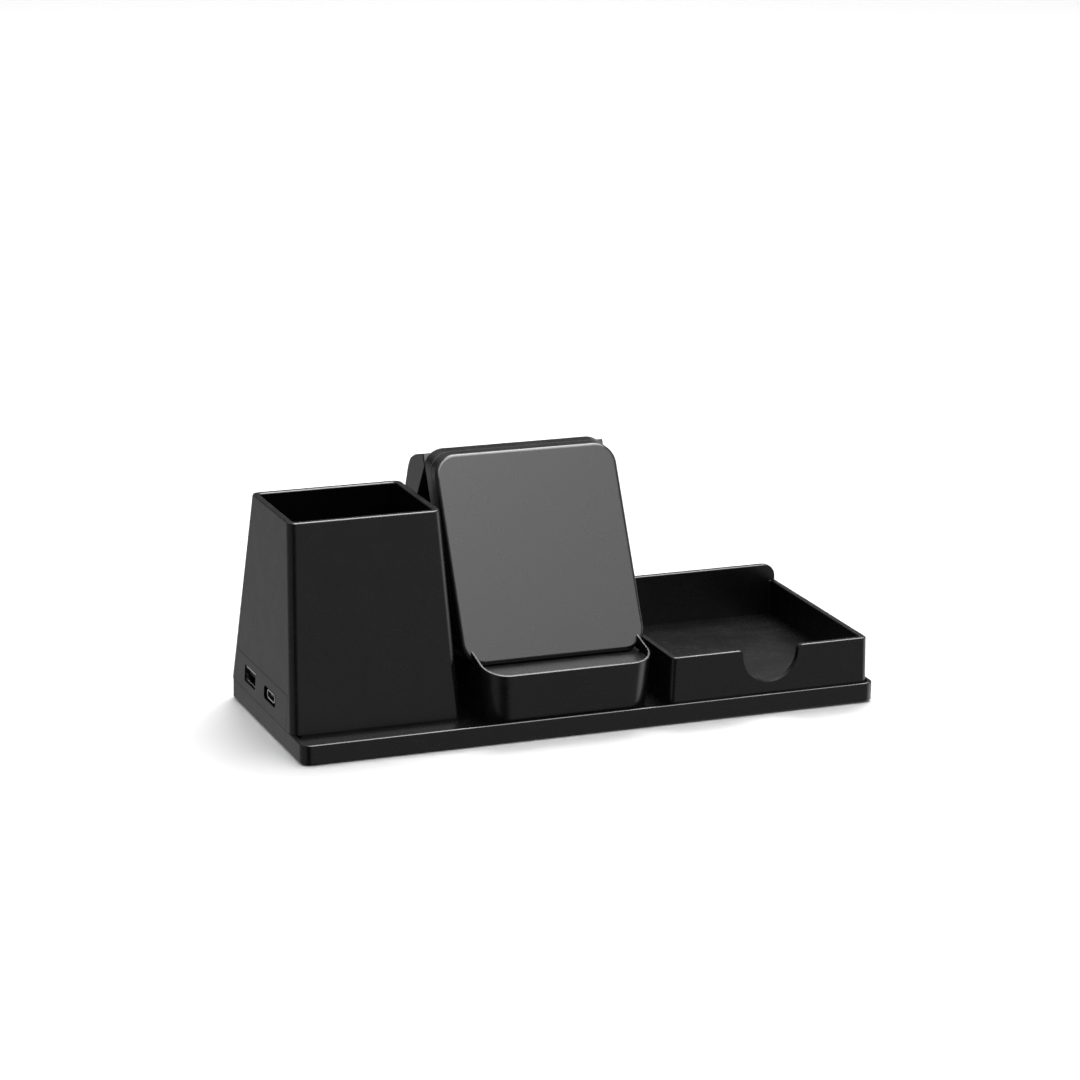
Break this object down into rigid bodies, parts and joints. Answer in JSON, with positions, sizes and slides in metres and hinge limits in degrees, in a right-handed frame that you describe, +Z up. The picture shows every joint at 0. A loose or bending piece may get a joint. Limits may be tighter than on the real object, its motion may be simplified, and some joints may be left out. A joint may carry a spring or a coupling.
{
  "type": "charging station organizer",
  "caption": "Desk organizer on a long low base: a tapered pen cup with charging sockets in its side, a leaning phone charging stand with a ledge, and a memo tray with a notched front.",
  "frame": {"origin": "on the desk, under the middle of the base's bounding box", "axes": "+X along the base from the pen cup to the memo tray, +Y from the front to the back, +Z up"},
  "size_m": [0.24, 0.0904, 0.1009],
  "materials": {
    "body_plastic": "satin black moulded plastic with a very fine texture",
    "ledge_plastic": "satin black moulded plastic, smoother than the body",
    "backrest_plastic": "smooth satin black plastic",
    "under_plastic": "matt black plastic with a fine texture",
    "rubber": "matt black rubber",
    "bright_steel": "bright stamped steel",
    "screw_steel": "blackened steel",
    "tongue_plastic": "black moulded insulator",
    "contact_brass": "plated contact strip",
    "circuit_board": "green solder mask",
    "chip_plastic": "black moulded package",
    "can_aluminium": "drawn aluminium can",
    "plug_plastic": "off-white nylon",
    "cable_jacket": "black cable jacket",
    "carrier_plastic": "light grey plastic",
    "ferrite": "dark sintered ferrite",
    "coil_copper": "enamelled copper wire",
    "ceramic": "tan ceramic"
  },
  "bodies": {
    "root": {"base_tray": "body_plastic", "bottom_cover": "under_plastic", "rubber_feet": "rubber", "pen_cup": "body_plastic", "port_panel": "body_plastic", "usb_a_shell": "bright_steel", "usb_a_tongue": "tongue_plastic", "usb_a_contacts": "contact_brass", "usb_c_shell": "bright_steel", "usb_c_tongue": "tongue_plastic", "usb_c_riser": "tongue_plastic", "port_board": "circuit_board", "controller_chip": "chip_plastic", "power_inductor": "chip_plastic", "capacitors": "can_aluminium", "board_plug": "plug_plastic", "link_cable": "cable_jacket", "ledge_block": "ledge_plastic", "backrest_front": "backrest_plastic", "backrest_back": "body_plastic", "coil_carrier": "carrier_plastic", "ferrite_sheet": "ferrite", "charging_coil": "coil_copper", "charger_board": "circuit_board", "charger_chip": "chip_plastic", "charger_capacitors": "ceramic", "charger_plug": "plug_plastic", "rear_support": "body_plastic", "support_cover": "under_plastic", "memo_tray": "body_plastic", "cover_screws": "screw_steel", "cup_screws": "screw_steel", "board_screws": "screw_steel", "ledge_screws": "screw_steel", "backrest_screws": "screw_steel", "backrest_foot_screws": "screw_steel", "support_cover_screws": "screw_steel", "neck_screws": "screw_steel", "support_screws": "screw_steel", "tray_screws": "screw_steel"}
  },
  "joints": []
}
